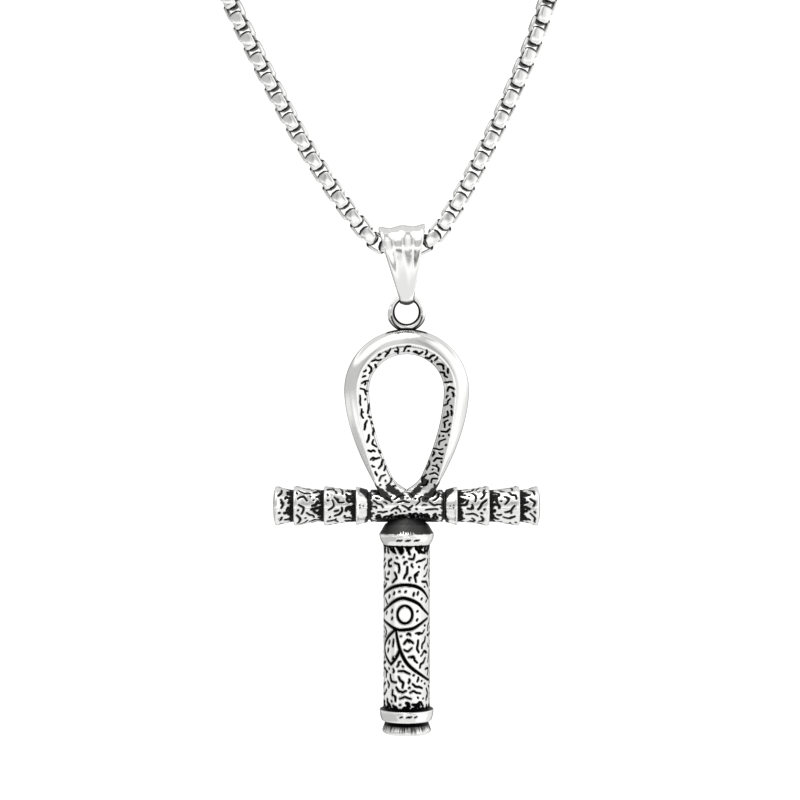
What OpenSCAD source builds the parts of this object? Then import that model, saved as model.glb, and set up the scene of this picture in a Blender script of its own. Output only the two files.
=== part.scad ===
// Ankh pendant on a box chain, cast in polished steel with blackened recesses.
// Millimetres, +Z up, +X to the right of someone facing the pendant, which hangs on the -Y side.
// The origin is the middle of the neck opening, level with the clasp at the nape.

/* [Loop] */
// Width across the outside of the loop
loop_w = 16.3; // [15:0.1:18]
// Height of the loop's outer arc above its widest place
loop_crown_h = 8; // [7:0.1:9]
// Height of the loop's widest place above the crossbar's axis
loop_leg_h = 15; // [14:0.1:17]
// Width across the outside of the legs at the crossbar
loop_foot_w = 7.6; // [7.2:0.1:8.6]
// Width across the ridge between the polished rim and the inner bevel
ridge_w = 12.4; // [11.8:0.1:13.4]
// Height of the ridge's arc above its widest place
ridge_crown_h = 5.8; // [5.5:0.1:6.4]
// Width across the ridge at the crossbar
ridge_foot_w = 7.2; // [6:0.1:7.2]
// Width of the loop's hole
hole_w = 9.7; // [8.6:0.1:10.4]
// Height of the hole's arc above its widest place
hole_crown_h = 4.7; // [4.2:0.1:5]
// Width of the hole where the legs meet the crossbar
hole_foot_w = 2.1; // [1.6:0.1:2.8]
// Thickness of the loop from front to back at the ridge
loop_t = 4; // [3.2:0.1:4.4]
// Thickness of the loop at the edge of its hole
loop_edge_t = 1.2; // [0.8:0.1:1.6]

/* [Eyelet] */
// Inner diameter of the eyelet on top of the loop
eyelet_d = 3.1; // [2.9:0.05:3.6]
// Diameter of the eyelet's wire
eyelet_wire_d = 0.76; // [0.7:0.02:0.9]
// Diameter of the thicker foot that joins the eyelet to the loop
eyelet_foot_d = 5.2; // [4.9:0.1:5.8]
// Thickness of that foot from front to back
eyelet_foot_t = 1.5; // [1.2:0.1:2]
// Depth to which the eyelet's ring sinks into the top of the loop
eyelet_sink = 0.1; // [0.05:0.05:0.3]

/* [Crossbar] */
// Diameter of the plain barrel at the middle of the crossbar
barrel_d = 4.22; // [3.8:0.02:4.6]
// Length of that barrel
barrel_l = 9.46; // [9:0.02:11]
// Diameter of the blackened groove beside the barrel
groove_d = 3.6; // [3.2:0.1:3.8]
// Width of that groove
groove_l = 0.26; // [0.2:0.02:0.5]
// Length of the polished cone ring beside the groove
ring_l = 1.56; // [1.2:0.02:2]
// Diameter of the ring's rim
ring_d = 5.2; // [4.8:0.1:5.6]
// Length of the inner flared segment of each arm
inner_segment_l = 4.13; // [3:0.01:5]
// Length of the middle flared segment of each arm
middle_segment_l = 3.92; // [3:0.01:5]
// Length of the end flared segment of each arm
end_segment_l = 2.4; // [2:0.1:4]
// Diameter of each segment at its narrow end
segment_neck_d = 4.1; // [3.8:0.1:4.4]
// Diameter of each segment at its flared end
segment_rim_d = 5.24; // [4.8:0.02:5.6]
// Height of the slight dome on the ends of the arms
end_dome_h = 0.36; // [0.2:0.02:0.6]

/* [Shaft] */
// Diameter of the shaft
shaft_d = 6.06; // [5.6:0.02:6.4]
// Length of the plain shaft between its two collars
shaft_l = 21.3; // [19:0.1:26]
// Diameter of the polished collar at the top of the shaft
collar_d = 7.2; // [6.8:0.1:7.6]
// Height of that collar
collar_h = 1.45; // [1.2:0.05:2]
// Drop from the crossbar's axis to the top of that collar
collar_drop = 3.52; // [3.2:0.02:4.2]
// Diameter of the polished collar at the bottom of the shaft
foot_collar_d = 7.08; // [6.8:0.02:7.6]
// Height of the bottom collar
foot_collar_h = 1.55; // [1.2:0.05:2]
// Diameter of the blackened neck under the bottom collar
foot_neck_d = 5.66; // [5:0.02:6]
// Diameter of the rounded end
foot_d = 6.4; // [6.1:0.1:6.6]
// Height of the rounded end with its neck
foot_h = 1.75; // [1.5:0.05:2.5]

/* [Eye] */
// Drop from the top collar's lower edge to the middle of the engraved eye
eye_drop = 8.9; // [8.2:0.1:9.6]
// Width of the engraved strokes
stroke_w = 0.42; // [0.3:0.02:0.5]
// Depth of the engraving
stroke_depth = 0.25; // [0.15:0.05:0.4]
// Width of the iris
iris_w = 2.0; // [1.6:0.1:2.2]
// Height of the iris
iris_h = 2.3; // [1.8:0.1:2.6]

/* [Bail] */
// Width of the bail at its top
bail_w = 6.1; // [5.4:0.1:6.4]
// Width of the bail at its bottom
bail_foot_w = 1.9; // [1.6:0.1:2]
// Inner height of the bail, from the eyelet's wire seat to its top
bail_inner_h = 9.3; // [8.8:0.1:11]
// Inner radius of the bail's top bend
bail_top_r = 2.3; // [2:0.05:2.6]
// Inner radius of the bail's bottom bend
bail_foot_r = 0.65; // [0.55:0.05:0.8]
// Thickness of the bail's band
bail_t = 0.6; // [0.5:0.05:0.75]
// Depth of the two flutes that run along the band
flute_depth = 0.24; // [0.1:0.02:0.3]
// Sideways lean of the bail as it hangs, in degrees
bail_lean = 4; // [0:1:5]

/* [Chain] */
// Width of the box chain across its flats
chain_w = 2.4; // [2:0.05:2.4]

/* [Clasp] */
// Length of the barrel clasp
clasp_l = 12; // [11:0.5:16]
// Diameter of the barrel clasp
clasp_d = 4.4; // [4:0.1:6]
// Depth to which the chain's ends sit in the clasp
clasp_socket = 1.5; // [1:0.1:2]

/* [Clearances] */
// Gap between the eyelet's wire and the bail that carries it
seat_gap = 0.12; // [0.08:0.02:0.16]
// Gap between the chain and the walls of the clasp's sockets
socket_gap = 0.15; // [0.1:0.05:0.3]

/* [Hidden] */
$fn = 48;

// Chain: the way its middle line takes from the right end in the clasp, round the neck, down the
// right side, through the bail and up the left side to the clasp again
clasp_in_x = clasp_l / 2 - clasp_socket;
clasp_out_x = clasp_l / 2 + clasp_socket;
chain_route = [
    [clasp_in_x, 62, 0], [clasp_out_x, 62, 0], [24, 58.5, -1], [42, 46, -5], [55, 28, -11], [61, 6, -20],
    [61, -16, -33], [56, -36, -49], [49, -52, -69], [41, -64, -90], [32, -72, -113], [24, -76.5, -136],
    [15, -79, -163], [10, -79.6, -173.8], [5.4, -79.9, -182.2], [3.9, -80, -184.34],
    [2.5, -80, -185.51], [1, -80, -186.15], [-0.6, -80, -186.37], [-2.2, -80, -186.15],
    [-3.7, -80, -185.51], [-4.7, -80, -184.74], [-6.1, -80, -183.1],
    [-11.9, -79.6, -174.9], [-17.6, -79, -164.7], [-26, -78.2, -147], [-33, -75.5, -128],
    [-40.5, -70, -107], [-47, -62, -86], [-53, -51, -65], [-58, -36, -46], [-62, -16, -31],
    [-62, 6, -19], [-55, 28, -11], [-42, 46, -5], [-24, 58.5, -1],
    [-clasp_out_x, 62, 0], [-clasp_in_x, 62, 0]
];
// The middle of the bail, from which the bail and the ankh are placed, below the chain inside it
hang_place = [0, -80, -188];
chain_ring_gap = 5;
chain_sides = 8;

// Places that the pieces take from each other, from the middle of the bail up and down
bail_top_z = 4.3;
bail_foot_z = bail_top_z - bail_inner_h;
wire_z = bail_foot_z + seat_gap + eyelet_wire_d / 2;
eyelet_r = (eyelet_d + eyelet_wire_d) / 2;
loop_top_z = loop_leg_h + loop_crown_h;
eyelet_z = loop_top_z + eyelet_r + eyelet_wire_d / 2 - eyelet_sink;
crossbar_z = wire_z - eyelet_r - eyelet_z;

// Loop: the steps along a leg and along the arc, and how its legs taper
leg_steps = 12;
arc_steps = 30;
leg_curve = 1.76;
leg_end_z = 0.47 * barrel_d / 2;
leg_end_thinning = 0.1;
crotch_r = 1.4;
slit = 0.05;
foot_z = barrel_d / 2;
rim_shares = [0, 0.06, 0.2, 0.42, 0.7, 1];

// Eyelet: the steps round its ring and round its wire, and how its foot starts and swells
eyelet_steps = 36;
eyelet_sides = 12;
foot_start = 0.3;
foot_swell = 1.6;
foot_fullness = 0.8;

// Crossbar: where each of its steps ends
groove_x = barrel_l / 2 + groove_l;
ring_x = groove_x + ring_l;
inner_x = ring_x + inner_segment_l;
middle_x = inner_x + middle_segment_l;
end_x = middle_x + end_segment_l;
step_l = 0.06;
edge = 0.16;

// Shaft: where each of its steps ends
neck_top_z = -0.3 * barrel_d;
collar_z = -collar_drop - collar_h;
shaft_end_z = collar_z - shaft_l;
foot_z_top = shaft_end_z - foot_collar_h;
foot_end_z = foot_z_top - foot_h;

// Half the width of a drop-shaped outline at a height z below its widest place
function leg_x(w, foot_w, z) =
    w / 2 - (w - foot_w) / 2 * pow((loop_leg_h - z) / (loop_leg_h - foot_z), leg_curve);

// Point k of a drop-shaped outline, up the right leg, over the arc and down the left leg
function drop_point(w, crown_h, foot_w, k) =
    k < leg_steps ?
        let (z = leg_end_z + (loop_leg_h - leg_end_z) * k / leg_steps)
        [leg_x(w, foot_w, z), z] :
    k <= leg_steps + arc_steps ?
        let (a = 180 * (k - leg_steps) / arc_steps)
        [w / 2 * cos(a), loop_leg_h + crown_h * sin(a)] :
        let (q = drop_point(w, crown_h, foot_w, 2 * leg_steps + arc_steps - k))
        [-q[0], q[1]];

// The hole's outline is a drop too, rounded at the bottom where the two legs meet
function hole_point(k) =
    let (q = drop_point(hole_w, hole_crown_h, hole_foot_w, k),
         rise = max(0, foot_z + crotch_r - q[1]),
         x = max(slit, abs(q[0]) - rise * rise / (2 * crotch_r)))
    [q[0] < 0 ? -x : x, q[1]];

function mix(a, b, t) = a + (b - a) * t;

// One section of the loop: the rounded rim in front, the bevel to the hole, and the same behind
function loop_section(k) =
    let (o = drop_point(loop_w, loop_crown_h, loop_foot_w, k),
         g = drop_point(ridge_w, ridge_crown_h, ridge_foot_w, k),
         i = hole_point(k),
         low = max(0, (foot_z + crotch_r - o[1]) / (foot_z + crotch_r - leg_end_z)),
         t = loop_t / 2 * (1 - leg_end_thinning * low),
         rim = [for (s = rim_shares) let (p = mix(o, g, s)) [p[0], -t * sqrt(1 - pow(1 - s, 2)), p[1]]],
         edge_front = [i[0], -loop_edge_t / 2, i[1]],
         edge_back = [i[0], loop_edge_t / 2, i[1]],
         back = [for (j = [len(rim) - 1:-1:1]) [rim[j][0], -rim[j][1], rim[j][2]]])
    concat(rim, [edge_front, edge_back], back);

// A skin over rings of equally many points, closed at both ends or run round into itself
module skin(rings, closed = false) {
    n = len(rings[0]);
    m = len(rings);
    last = closed ? m - 1 : m - 2;
    sides = [for (j = [0:last], i = [0:n - 1])
        let (a = j * n, b = (j + 1) % m * n, i2 = (i + 1) % n)
        each [[a + i, a + i2, b + i2], [a + i, b + i2, b + i]]];
    ends = closed ? [] : [[for (i = [n - 1:-1:0]) i], [for (i = [0:n - 1]) (m - 1) * n + i]];
    polyhedron([for (r = rings) each r], concat(sides, ends), convexity = 8);
}

// Loop: a teardrop ring, its rim half round and polished and its inner bevel textured
module loop() {
    skin([for (k = [0:2 * leg_steps + arc_steps]) loop_section(k)]);
}

// Eyelet: a wire ring seen face on, which thickens downwards into a foot cast onto the loop's top.
// A section at the angle a, from the top of the ring round to its foot and up again.
function eyelet_section(a) =
    let (foot = pow(max(0, foot_start - cos(a)) / (1 + foot_start), foot_fullness),
         wide = mix(eyelet_wire_d, (eyelet_foot_d - eyelet_d) / 2, min(1, foot_swell * foot)) / 2,
         deep = mix(eyelet_wire_d, eyelet_foot_t, foot) / 2,
         r = eyelet_d / 2 + wide)
    [for (c = [0:360 / eyelet_sides:359])
        let (q = r + wide * cos(c)) [q * sin(a), deep * sin(c), eyelet_z + q * cos(a)]];

module eyelet() {
    skin([for (k = [0:eyelet_steps - 1]) eyelet_section(360 * k / eyelet_steps)], closed = true);
}

// Crossbar: a barrel between two cone rings, with three flared segments on each arm
module arm() {
    ring_r = ring_d / 2;
    neck_r = segment_neck_d / 2;
    rim_r = segment_rim_d / 2;
    rotate([0, 90, 0]) rotate_extrude() polygon(concat(
        [[0, 0], [barrel_d / 2, 0], [barrel_d / 2, barrel_l / 2 - step_l],
         [groove_d / 2, barrel_l / 2], [groove_d / 2, groove_x],
         [barrel_d / 2, groove_x + step_l], [ring_r - edge, ring_x - 2 * edge],
         [ring_r, ring_x - edge], [ring_r - edge / 2, ring_x]],
        flare(ring_x, inner_x, neck_r, rim_r),
        flare(inner_x, middle_x, neck_r, rim_r),
        flare(middle_x, end_x, neck_r, rim_r),
        [[0.75 * rim_r, end_x + 0.6 * end_dome_h], [0.4 * rim_r, end_x + 0.95 * end_dome_h],
         [0, end_x + end_dome_h]]));
}

// Outline of one flared segment, from its narrow end at x0 to the rounded rim at x1
function flare(x0, x1, neck_r, rim_r) =
    let (l = x1 - x0, grow = rim_r - neck_r)
    [[neck_r, x0 + step_l], [neck_r + 0.28 * grow, x0 + 0.4 * l], [neck_r + 0.7 * grow, x0 + 0.75 * l],
     [rim_r, x1 - 1.5 * edge], [rim_r - edge / 2, x1]];

module crossbar() {
    arm();
    mirror([1, 0, 0]) arm();
}

// Shaft: a blackened cone, a collar, the round shaft, a second collar and a rounded end
module shaft() {
    collar_r = collar_d / 2;
    foot_collar_r = foot_collar_d / 2;
    neck_r = foot_neck_d / 2;
    foot_r = foot_d / 2;
    rotate_extrude() polygon([
        [0, neck_top_z], [0.37 * collar_r, neck_top_z], [0.56 * collar_r, -0.5 * collar_drop],
        [0.79 * collar_r, -0.68 * collar_drop], [collar_r - edge, -collar_drop + edge / 2],
        [collar_r, -collar_drop - edge / 2], [collar_r - 0.2 * edge, -collar_drop - 0.3 * collar_h],
        [collar_r - 0.9 * edge, -collar_drop - 0.6 * collar_h],
        [mix(collar_r, shaft_d / 2, 0.6), collar_z + 0.15 * collar_h],
        [mix(collar_r, shaft_d / 2, 0.85), collar_z],
        [shaft_d / 2, collar_z - step_l], [shaft_d / 2, shaft_end_z + step_l],
        [foot_collar_r - edge, shaft_end_z], [foot_collar_r, shaft_end_z - 0.6 * edge],
        [foot_collar_r - 0.3 * edge, shaft_end_z - 0.5 * foot_collar_h],
        [foot_collar_r - 1.6 * edge, foot_z_top + 0.5 * edge], [foot_collar_r - 2.6 * edge, foot_z_top],
        [neck_r, foot_z_top - step_l], [neck_r, foot_z_top - 0.16 * foot_h],
        [foot_r - 0.5 * edge, foot_z_top - 0.6 * foot_h], [foot_r, foot_z_top - 0.7 * foot_h],
        [foot_r - 0.7 * edge, foot_z_top - 0.86 * foot_h],
        [foot_r - 3.2 * edge, foot_end_z + 0.03 * foot_h], [0.5 * foot_r, foot_end_z], [0, foot_end_z]]);
}

// Eye: each stroke's middle line, seen from the front, in millimetres from the middle of the iris
brow = [[-3.1, 2], [-2.45, 2.9], [-1.1, 3.6], [0.3, 3.8], [1.5, 3.6], [2.5, 2.9], [3.1, 2]];
upper_lid = [[-3.1, 0.1], [-2.3, 1.15], [-1, 1.9], [0.3, 2.05], [1.2, 1.75], [2.3, 0.9], [3.1, 0.1]];
lower_lid = [[-3.1, -0.2], [-2.3, -1.15], [-1, -1.8], [0.4, -1.95], [1.7, -1.45], [3.1, -0.2]];
drop_outer = [[-1.6, -2], [-2.45, -3], [-2.65, -4], [-2.4, -5.3], [-1.85, -6.4]];
drop_inner = [[-1.85, -6.4], [-1.4, -5.9], [-1.1, -5.2], [-0.75, -4.6]];
tail = [[-1.15, -1.9], [-0.9, -3.6], [-0.5, -5], [0.3, -6.4], [1.6, -7.4], [3.1, -8.35]];
eye_strokes = [brow, upper_lid, lower_lid, drop_outer, drop_inner, tail];
curve_steps = 3;
cut_over = 1;

// A point on the smooth curve from point i of a list to the next one, at the share t
function curve_tangent(p, i) =
    i == 0 ? p[1] - p[0] :
    i == len(p) - 1 ? p[i] - p[i - 1] :
    let (a = norm(p[i] - p[i - 1]), b = norm(p[i + 1] - p[i]))
    ((p[i + 1] - p[i]) / b * a + (p[i] - p[i - 1]) / a * b) / (a + b);

function curve_unit(p, i) =
    let (v = curve_tangent(p, i)) i == 0 || i == len(p) - 1 ? v / norm(v) : v;

function curve_point(p, i, t) =
    let (d = norm(p[i + 1] - p[i]), u = curve_unit(p, i), v = curve_unit(p, i + 1))
    (2 * pow(t, 3) - 3 * t * t + 1) * p[i] + (pow(t, 3) - 2 * t * t + t) * d * u +
    (3 * t * t - 2 * pow(t, 3)) * p[i + 1] + (pow(t, 3) - t * t) * d * v;

function smooth_line(p, steps) = concat(
    [for (i = [0:len(p) - 2], k = [0:steps - 1]) curve_point(p, i, k / steps)], [p[len(p) - 1]]);

function line_dir(p, i) =
    let (v = p[min(i + 1, len(p) - 1)] - p[max(i - 1, 0)]) v / norm(v);

// One engraved stroke as a flat ribbon that narrows a little at its two ends
module ribbon(p) {
    n = len(p) - 1;
    function half_w(i) = stroke_w / 2 * mix(0.6, 1, min(1, 4 * min(i, n - i) / n));
    left = [for (i = [0:n]) let (d = line_dir(p, i)) p[i] + half_w(i) * [-d[1], d[0]]];
    right = [for (i = [n:-1:0]) let (d = line_dir(p, i)) p[i] - half_w(i) * [-d[1], d[0]]];
    polygon(concat(left, right));
}

module eye_outline() {
    for (s = eye_strokes) ribbon(smooth_line(s, curve_steps));
    difference() {
        polygon([for (a = [0:15:345]) [iris_w / 2 * cos(a), iris_h / 2 * sin(a)]]);
        polygon([for (a = [0:15:345])
            [(iris_w / 2 - stroke_w) * cos(a), (iris_h / 2 - stroke_w) * sin(a)]]);
    }
}

// The engraving is as deep at the sides of the round shaft as at its middle
module eye_cut() {
    intersection() {
        translate([0, 0, collar_z - eye_drop]) rotate([90, 0, 0])
            linear_extrude(shaft_d) eye_outline();
        difference() {
            translate([0, 0, shaft_end_z]) cylinder(d = shaft_d + cut_over, h = shaft_l);
            translate([0, 0, shaft_end_z - cut_over])
                cylinder(d = shaft_d - 2 * stroke_depth, h = shaft_l + 2 * cut_over);
        }
    }
}

module ankh() {
    color("gainsboro")
        translate(hang_place + [0, 0, crossbar_z])
            difference() {
                union() {
                    crossbar();
                    shaft();
                    loop();
                    eyelet();
                }
                eye_cut();
            }
}

// Bail: the middle line of its band seen from the side, as a place and an outward direction.
// The big arc is the top, the small arc the seat of the eyelet, and two straight leaves join them.
bail_arc_z = bail_top_z - bail_top_r;
bail_seat_z = bail_foot_z + bail_foot_r;
bail_slope = asin((bail_top_r - bail_foot_r) / (bail_arc_z - bail_seat_z));
bail_arc_steps = 14;
bail_seat_steps = 8;
bail_leaf_steps = 6;
flute_shares = [-1, -0.83, -0.67, -0.5, -0.33, -0.17, 0, 0.17, 0.33, 0.5, 0.67, 0.83, 1];
inner_shares = [0.92, 0.46, 0, -0.46, -0.92];
foot_crown = 0.36;
foot_waist_share = 0.9;
flute_growth = 1.6;

function bail_station(z, r, a) = [[0, -r * cos(a), z + r * sin(a)], [0, -cos(a), sin(a)]];

function leaf_station(a, t) =
    let (p = bail_station(bail_seat_z, bail_foot_r, a), q = bail_station(bail_arc_z, bail_top_r, a))
    [mix(p[0], q[0], t), p[1]];

bail_stations = concat(
    [for (k = [0:bail_arc_steps])
        bail_station(bail_arc_z, bail_top_r, -bail_slope + k * (180 + 2 * bail_slope) / bail_arc_steps)],
    [for (k = [1:bail_leaf_steps - 1]) leaf_station(180 + bail_slope, 1 - k / bail_leaf_steps)],
    [for (k = [0:bail_seat_steps])
        bail_station(bail_seat_z, bail_foot_r,
            180 + bail_slope + k * (180 - 2 * bail_slope) / bail_seat_steps)],
    [for (k = [1:bail_leaf_steps - 1]) leaf_station(-bail_slope, k / bail_leaf_steps)]);

// A section of the band at a station: fluted outside and plain inside, and lens-shaped at the seat
function bail_section(s) =
    let (p = s[0], n = s[1],
         up = max(0, min(1, (p[2] - bail_foot_z) / bail_inner_h)),
         w = max(bail_foot_w, mix(foot_waist_share * bail_foot_w, bail_w, up)) / 2,
         crown = foot_crown * pow(1 - up, 3),
         outer = [for (u = flute_shares)
             [w * u, 0, 0] + p + n * (bail_t - crown * u * u
                 - flute_depth * min(1, flute_growth * up) * (1 - cos(360 * u)) / 2)],
         inner = [for (u = inner_shares) [w * u, 0, 0] + p + n * crown * u * u])
    concat(outer, inner);

module bail() {
    color("silver")
        translate(hang_place + [0, 0, bail_seat_z]) rotate([0, -bail_lean, 0])
            translate([0, 0, -bail_seat_z])
                skin([for (s = bail_stations) bail_section(s)], closed = true);
}

// Chain: a plain eight-sided rope of the box chain's size, with one flat to the front
function ring_count(i) = max(1, ceil(norm(chain_route[i + 1] - chain_route[i]) / chain_ring_gap));

chain_line = concat(
    [for (i = [0:len(chain_route) - 2], k = [0:ring_count(i) - 1])
        curve_point(chain_route, i, k / ring_count(i))],
    [chain_route[len(chain_route) - 1]]);

// The outward direction at a ring, square to the line, faces away from the middle of the neck
function chain_ring(i) =
    let (p = chain_line[i], d = line_dir(chain_line, i),
         away = [p[0], p[1], 0] / norm([p[0], p[1], 0]),
         n = away - d * (away * d), out = n / norm(n), side = cross(out, d),
         r = chain_w / 2 / cos(180 / chain_sides))
    [for (k = [0:chain_sides - 1])
        let (a = 360 * (k + 0.5) / chain_sides) p + r * (cos(a) * out + sin(a) * side)];

module chain() {
    color("lightgray")
        skin([for (i = [0:len(chain_line) - 1]) chain_ring(i)]);
}

// Clasp: a plain barrel at the nape that holds the chain's two ends, with a seam round its middle
clasp_edge = 0.4;
clasp_seam = 0.3;

module clasp() {
    r = clasp_d / 2;
    l = clasp_l / 2;
    seam_r = r - 0.8 * clasp_seam;
    shoulder_r = r - 0.25 * clasp_edge;
    shoulder_l = l - 1.25 * clasp_edge;
    socket_r = chain_w / 2 / cos(180 / chain_sides) + socket_gap;
    bore_l = clasp_socket + socket_gap;
    color("silver")
        translate([0, chain_route[0][1], chain_route[0][2]]) rotate([0, 90, 0])
            difference() {
                rotate_extrude() polygon([
                    [0, -l], [r - clasp_edge, -l], [shoulder_r, -shoulder_l],
                    [r, -l + 3 * clasp_edge], [r, -clasp_seam], [seam_r, -clasp_seam / 2],
                    [seam_r, clasp_seam / 2], [r, clasp_seam], [r, l - 3 * clasp_edge],
                    [shoulder_r, shoulder_l], [r - clasp_edge, l], [0, l]]);
                for (e = [-1, 1]) translate([0, 0, e * l])
                    cylinder(r = socket_r, h = 2 * bore_l, center = true);
            }
}

ankh();
bail();
chain();
clasp();
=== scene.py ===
from math import asin, ceil, cos, hypot, pi, radians, sin

import bmesh
import bpy
import numpy as np
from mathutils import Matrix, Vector, kdtree


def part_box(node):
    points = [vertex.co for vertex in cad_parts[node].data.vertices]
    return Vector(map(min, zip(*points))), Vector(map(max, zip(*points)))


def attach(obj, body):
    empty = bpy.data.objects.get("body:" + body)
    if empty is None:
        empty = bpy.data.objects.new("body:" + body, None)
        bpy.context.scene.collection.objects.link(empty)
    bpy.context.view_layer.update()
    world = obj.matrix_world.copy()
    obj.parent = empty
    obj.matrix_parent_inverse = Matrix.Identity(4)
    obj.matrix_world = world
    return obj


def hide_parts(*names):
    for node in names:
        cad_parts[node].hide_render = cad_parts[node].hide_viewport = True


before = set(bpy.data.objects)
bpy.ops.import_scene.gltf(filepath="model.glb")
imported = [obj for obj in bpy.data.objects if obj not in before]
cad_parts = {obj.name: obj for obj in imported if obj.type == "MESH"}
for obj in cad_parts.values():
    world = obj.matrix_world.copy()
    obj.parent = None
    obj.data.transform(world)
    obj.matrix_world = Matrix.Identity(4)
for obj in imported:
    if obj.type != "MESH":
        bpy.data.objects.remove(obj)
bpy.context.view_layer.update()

# Loop. The ankh is one lost-wax casting in stainless steel, and its top is this teardrop ring. The
# outer rim is half round and buffed bright; the bevel inside it keeps the worm marks that were
# punched into the wax, and the black oxide that the buffing wheel didn't reach.
MM = 0.001
loop_w = 16.3
loop_crown_h = 8.0
loop_leg_h = 15.0
loop_foot_w = 7.6
ridge_w = 12.4
ridge_crown_h = 5.8
ridge_foot_w = 7.2
hole_w = 9.7
hole_crown_h = 4.7
hole_foot_w = 2.1
loop_t = 4.0
loop_edge_t = 1.2
leg_curve = 1.76
leg_end_z = 1.0
leg_end_thinning = 0.1
crotch_r = 1.4
crotch_rise = 1.75
barrel_r = 2.11
leg_rows = 220
arc_rows = 360
rim_columns = 15
bevel_columns = 34
wall_columns = 3

# One worm mark: a short bent groove as wide as the punch, with black oxide on its floor
mark_depth = 0.16
groove_floor = -0.12
groove_edge = 0.06
mark_lengths = (1.6, 1.2, 0.85, 0.5, 0.12)
mark_tries = 14
mark_step = 0.06
straight_l = 0.3
corner_steps = 3
branching_l = 0.8
branch_share = 0.3
twig_l = 0.45
cell = 0.07
bevel_bulge = 0.28
bevel_margin = 0.1
bevel_lengths = (1.25, 0.9, 0.6, 0.35, 0.12)
no_wrap = 1000.0

# The frame places the casting: its crossing is where the crossbar's and the shaft's axes meet
collar_drop = 3.52
collar_h = 1.45
shaft_l = 21.3
foot_collar_h = 1.55
foot_h = 1.75
ankh_low, ankh_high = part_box("ankh")
crossing = np.array([
    (ankh_low.x + ankh_high.x) / 2 / MM,
    (ankh_low.y + ankh_high.y) / 2 / MM,
    ankh_low.z / MM + collar_drop + collar_h + shaft_l + foot_collar_h + foot_h,
])


def smooth_step(low, high, value):
    """0 at low, 1 at high and a soft slope between them; low may be the greater one."""
    t = np.clip((value - low) / (high - low), 0, 1)
    return t * t * (3 - 2 * t)


def angles_round(count):
    """Evenly spaced angles, once round."""
    return np.linspace(0, 2 * pi, count, endpoint=False)


def half_width(w, crown_h, foot_w, z):
    """Half the width of a drop at the height z above the crossbar's axis."""
    down = np.clip(loop_leg_h - z, 0, None) / (loop_leg_h - barrel_r)
    leg = w / 2 - (w - foot_w) / 2 * down ** leg_curve
    arc = w / 2 * np.sqrt(np.clip(1 - ((z - loop_leg_h) / crown_h) ** 2, 0, 1))
    return np.where(z < loop_leg_h, leg, arc)


def drop_outline(w, crown_h, foot_w):
    """A drop's outline as points, up the right leg, over the arc and down the left leg."""
    z = np.linspace(leg_end_z, loop_leg_h, leg_rows, endpoint=False)
    right = np.column_stack([half_width(w, crown_h, foot_w, z), z])
    angle = np.linspace(0, pi, arc_rows)
    arc = np.column_stack([w / 2 * np.cos(angle), loop_leg_h + crown_h * np.sin(angle)])
    return np.vstack([right, arc, right[::-1] * (-1, 1)])


def hole_outline():
    """The hole's outline is a drop too, rounded at the bottom where the two legs meet."""
    points = drop_outline(hole_w, hole_crown_h, hole_foot_w)
    rise = np.clip(barrel_r + crotch_rise - points[:, 1], 0, None)
    width = np.maximum(0.05, np.abs(points[:, 0]) - rise ** 2 / (2 * crotch_r))
    points[:, 0] = np.where(points[:, 0] < 0, -width, width)
    return points


def bent_line(random, start, heading, length):
    """The middle line of one mark: a few almost straight runs with quick bends between."""
    runs = 1 if length < straight_l else int(random.integers(2, 4))
    points = [np.array(start, float)]
    for run in range(runs):
        steps = max(1, round(length / runs / mark_step))
        bend = random.uniform(-1, 1) * mark_step
        corner = random.choice((-1, 1)) * random.uniform(0.3, 1.3) / corner_steps * (run > 0)
        for k in range(steps):
            heading += bend + (corner if k < corner_steps else 0)
            points.append(points[-1] + mark_step * np.array([cos(heading), sin(heading)]))
    return np.array(points)


def with_width(line, width, end_share=0.85):
    """A line with half the groove's width at each of its points, a little less at its ends."""
    along = np.linspace(0, pi, len(line))
    half = width / 2 * (end_share + (1 - end_share) * np.sin(along))
    return np.column_stack([line, half])


def punched_marks(strip, inside, taken, seed, mark_w, spacing,
                  heading=0.0, spread=pi, lengths=mark_lengths):
    """Marks strewn over a strip, clear of each other: the long ones first, then shorter ones in
    what room is left. The strip runs round into itself after its width."""
    width, low, high = strip
    random = np.random.default_rng(seed)
    columns = round(width / cell)
    near = np.zeros((columns, round((high - low) / cell) + 1), bool)
    reach = ceil(spacing / cell)
    disc = np.array([(i, j) for i in range(-reach, reach + 1) for j in range(-reach, reach + 1)
                     if hypot(i, j) * cell < spacing])

    def cells(points):
        across = np.floor(points[:, 0] / width * columns).astype(int) % columns
        return across, np.clip(np.floor((points[:, 1] - low) / cell).astype(int), 0, near.shape[1] - 1)

    def keep_clear(points):
        across, along = cells(points)
        along = np.clip(along[:, None] + disc[:, 1], 0, near.shape[1] - 1)
        near[(across[:, None] + disc[:, 0]) % columns, along] = True

    marks = list(taken)
    if marks:
        keep_clear(np.array(marks)[:, :2])
    for length in lengths:
        for _ in range(int(mark_tries * width * (high - low))):
            start = np.array([[random.random() * width, low + random.random() * (high - low)]])
            if near[cells(start)].any() or not inside(start[:, 0], start[:, 1]).all():
                continue
            line = bent_line(random, start[0], heading + random.uniform(-spread, spread), length)
            whole = line
            branches = length > branching_l and random.random() < branch_share
            if branches:
                twig = bent_line(random, line[len(line) // 2], random.uniform(0, 2 * pi), twig_l)
                whole = np.vstack([line, twig])
            if near[cells(whole)].any() or not inside(whole[:, 0], whole[:, 1]).all():
                continue
            marks.extend(with_width(line, mark_w * random.uniform(0.85, 1.15)))
            if branches:
                marks.extend(with_width(twig, mark_w * 0.85))
            keep_clear(whole)
    return np.array(marks)


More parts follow.
